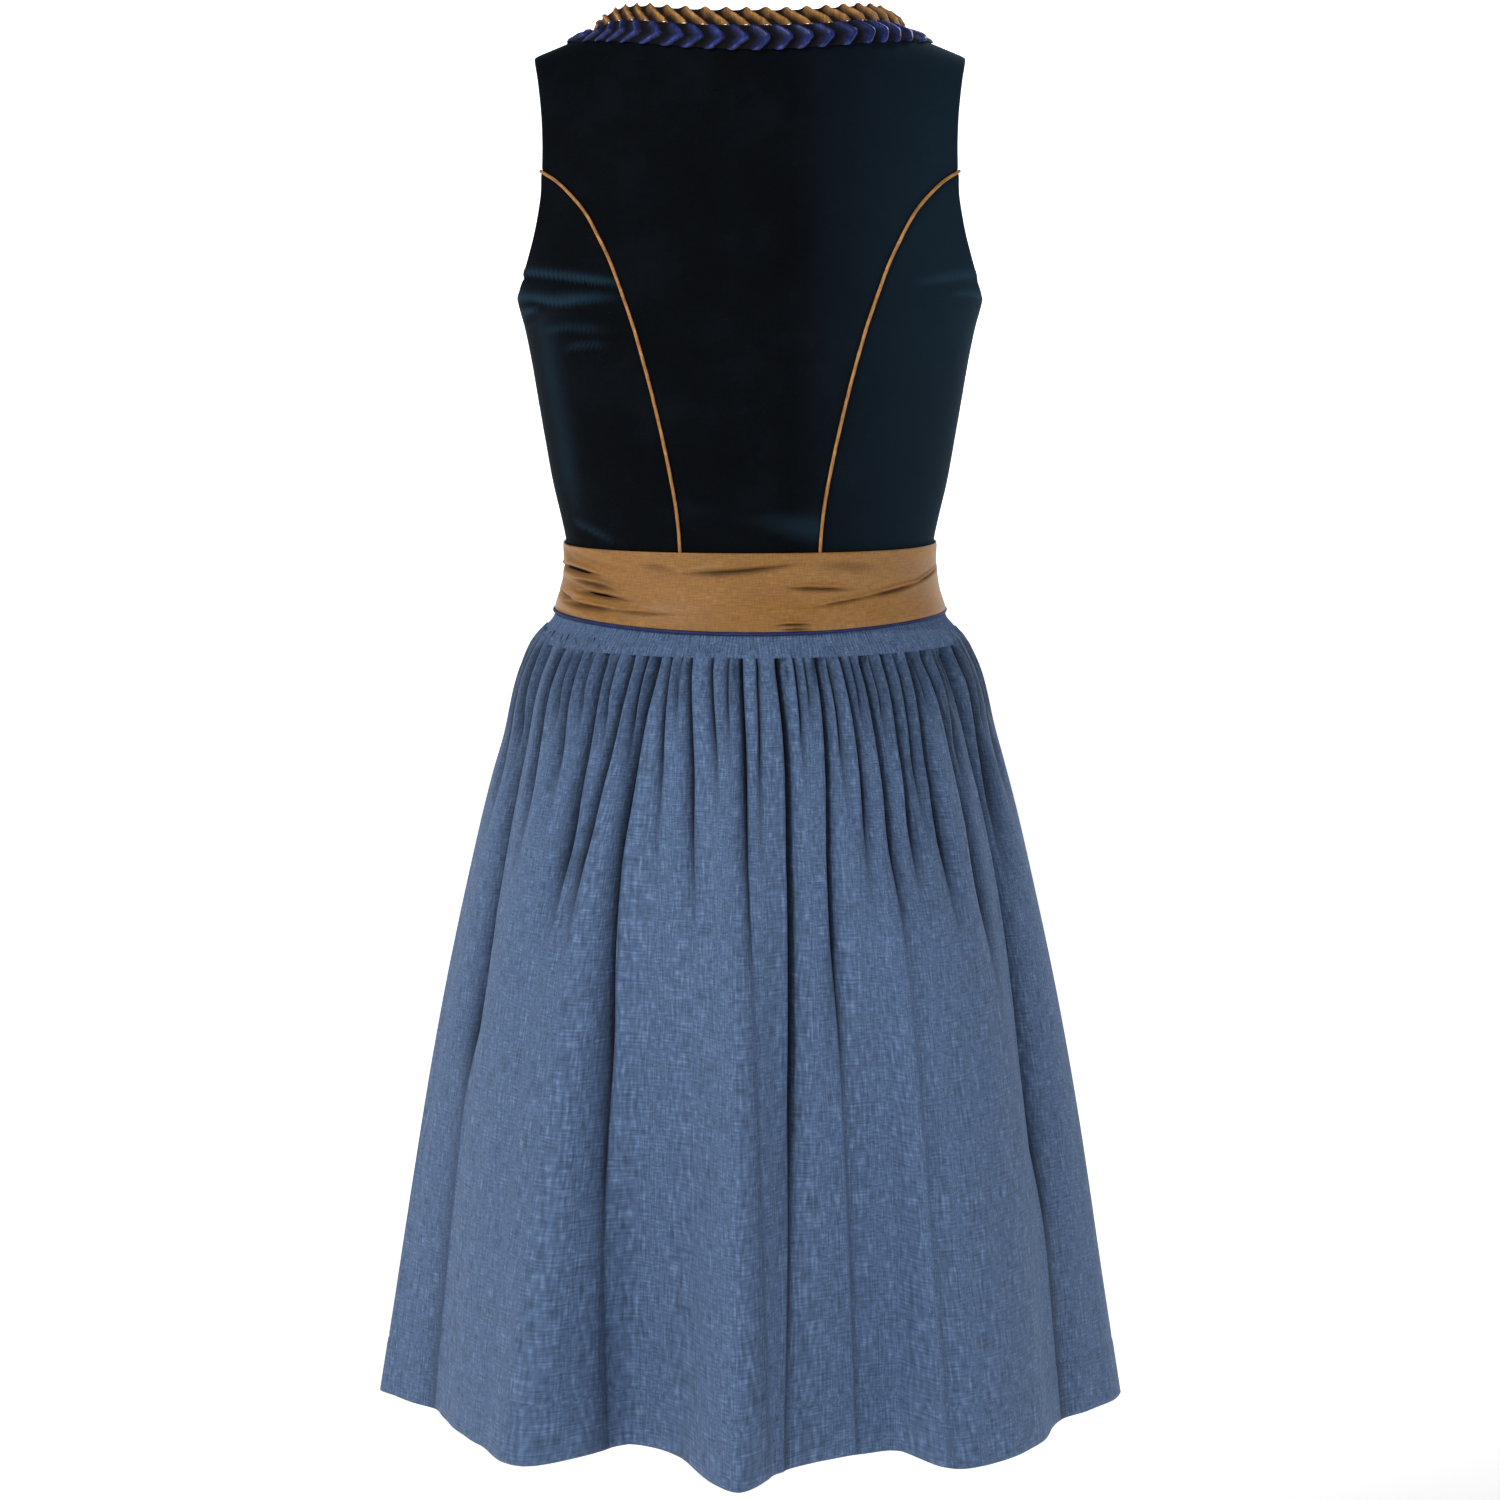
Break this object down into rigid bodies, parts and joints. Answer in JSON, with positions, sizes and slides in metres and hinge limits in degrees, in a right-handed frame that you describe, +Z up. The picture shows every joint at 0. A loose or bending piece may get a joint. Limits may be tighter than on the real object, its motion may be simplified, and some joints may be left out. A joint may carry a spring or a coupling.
{
  "type": "dirndl dress",
  "caption": "Sleeveless knee-length dirndl: velvet bodice with pleated neck trim, gathered linen skirt, and a taffeta apron with its band tied in a bow in front.",
  "frame": {"origin": "middle of the line between the two shoulder seams, where the straps rest on the wearer", "axes": "+Z up along the wearer, +Y to the wearer's front, +X to the wearer's right"},
  "size_m": [0.5366, 0.4818, 0.9939],
  "materials": {
    "velvet": "cotton velvet, deep blue-black, short nap",
    "gold_satin": "gold-brown satin, pleated or rolled into piping",
    "navy_satin": "navy satin, pleated or rolled into piping",
    "linen": "mid-blue plain-weave linen, matt",
    "taffeta": "gold-brown taffeta, soft lustre",
    "button": "old brass, dull"
  },
  "bodies": {
    "root": {"bodice_back_centre": "velvet", "bodice_back_side_left": "velvet", "bodice_back_side_right": "velvet", "bodice_front_side_left": "velvet", "bodice_front_side_right": "velvet", "bodice_front_left": "velvet", "bodice_front_right": "velvet", "piping_back_left": "gold_satin", "piping_back_right": "gold_satin", "front_button_1": "button", "front_button_2": "button", "front_button_3": "button", "front_button_4": "button", "front_button_5": "button", "front_button_6": "button", "neck_ruche_navy": "navy_satin", "neck_ruche_gold": "gold_satin", "skirt_back": "linen", "skirt_front": "linen", "sash": "taffeta", "waist_piping": "navy_satin", "apron": "taffeta", "bow_knot": "taffeta", "bow_loop_left": "taffeta", "bow_loop_right": "taffeta", "bow_tail_left": "taffeta", "bow_tail_right": "taffeta"}
  },
  "joints": []
}
